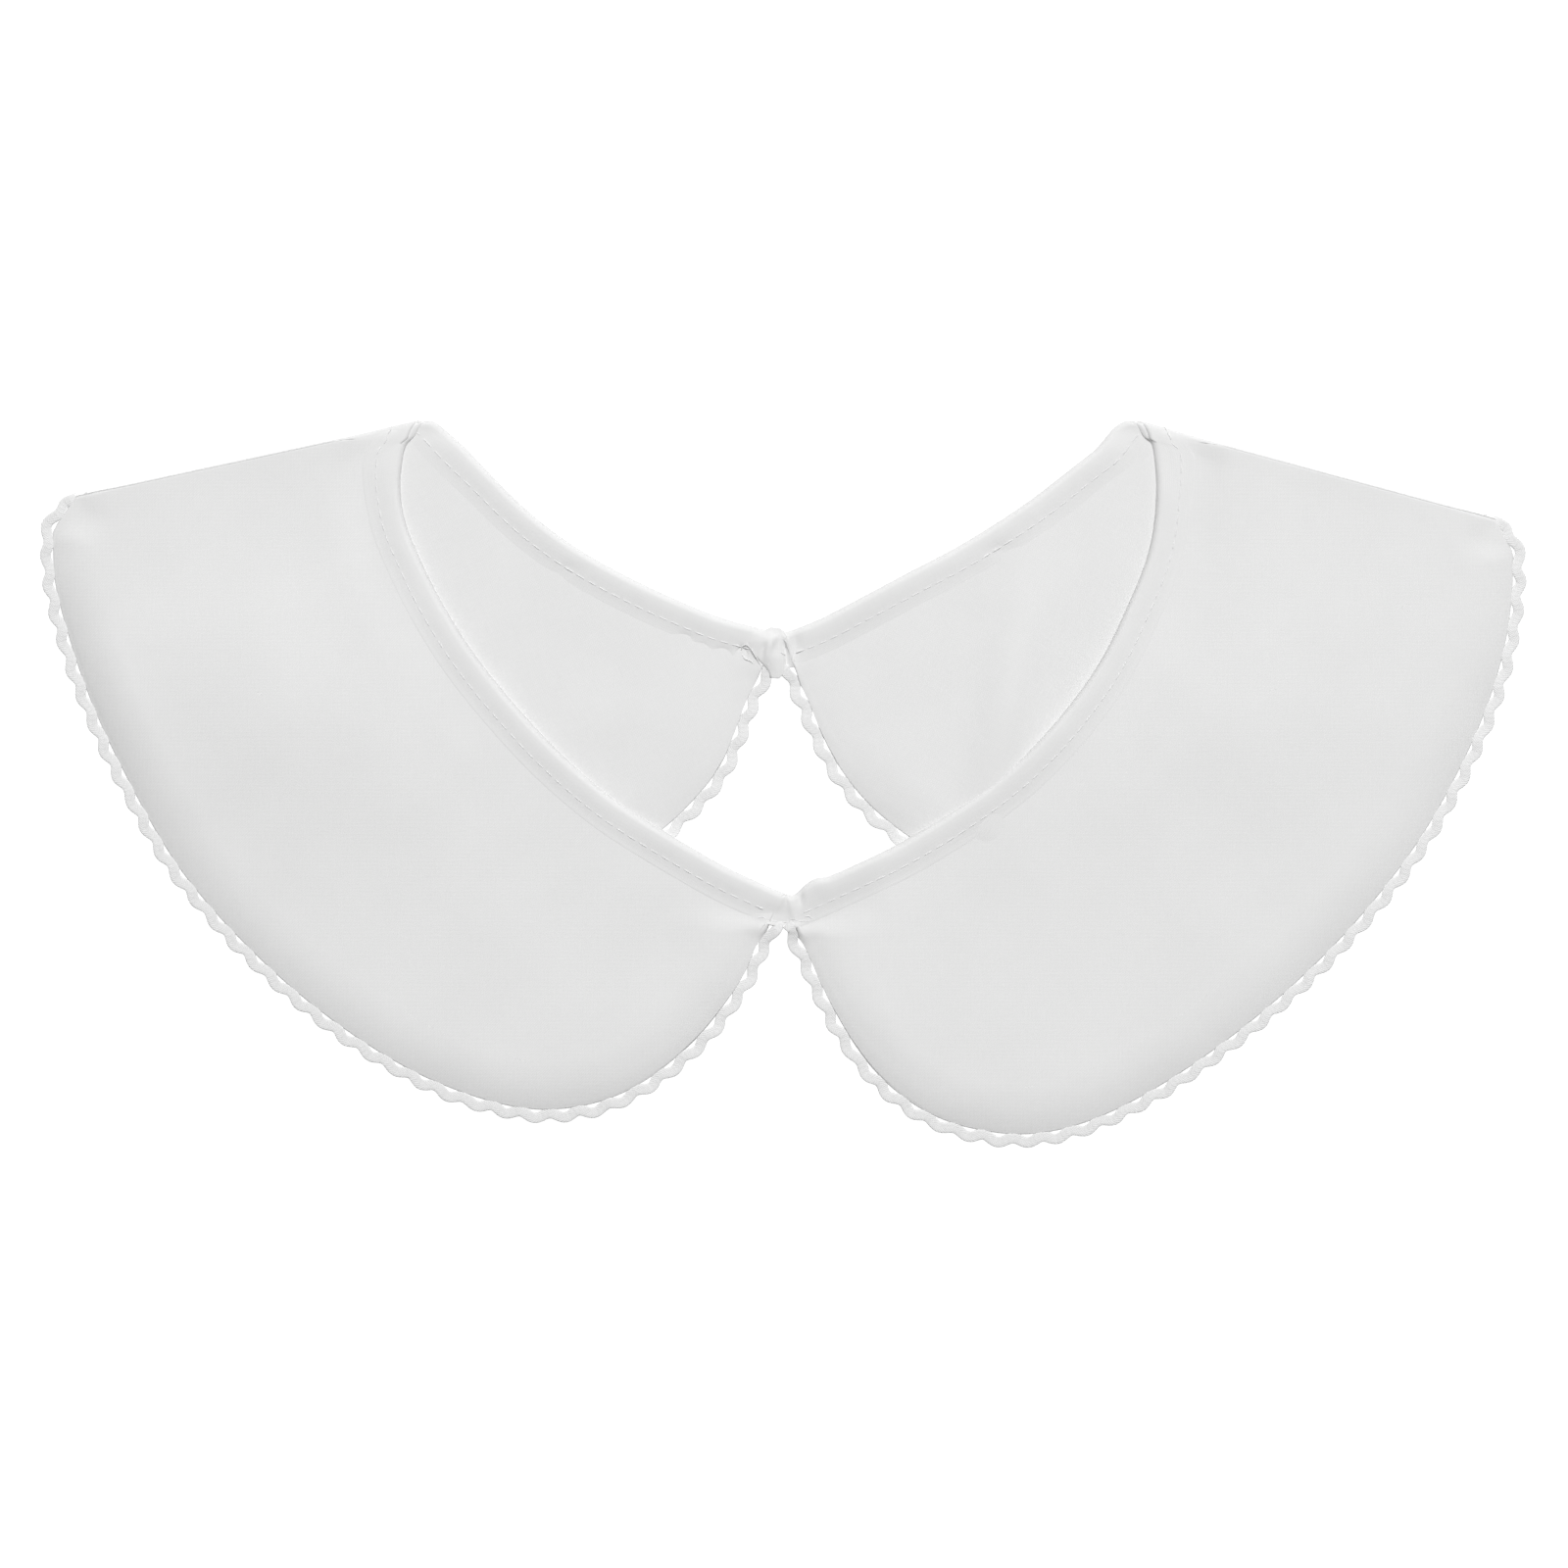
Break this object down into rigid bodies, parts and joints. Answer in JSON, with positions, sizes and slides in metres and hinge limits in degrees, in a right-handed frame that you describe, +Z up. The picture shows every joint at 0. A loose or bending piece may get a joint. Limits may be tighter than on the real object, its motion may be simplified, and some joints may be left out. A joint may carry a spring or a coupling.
{
  "type": "detachable collar",
  "caption": "Detachable round-ended flat collar in white cotton, folded at the shoulders, with a bound neckline, wavy edge trim and a hook tab at the back.",
  "frame": {"origin": "middle of the collar's footprint, on the surface it lies on", "axes": "+X towards the wearer's left shoulder side as seen on the right of the picture, +Y from the front of the neckline to the back of it, +Z up from the surface"},
  "size_m": [0.3038, 0.149, 0.0082],
  "materials": {
    "collar_cotton": "plain woven white poly-cotton",
    "bias_binding": "white bias-cut cotton binding, edge stitched",
    "wave_trim": "white woven wavy braid"
  },
  "bodies": {
    "root": {"left_panel": "collar_cotton", "right_panel": "collar_cotton", "neckline_binding": "bias_binding", "left_wave_trim": "wave_trim", "right_wave_trim": "wave_trim", "back_hook_tab": "bias_binding"}
  },
  "joints": []
}
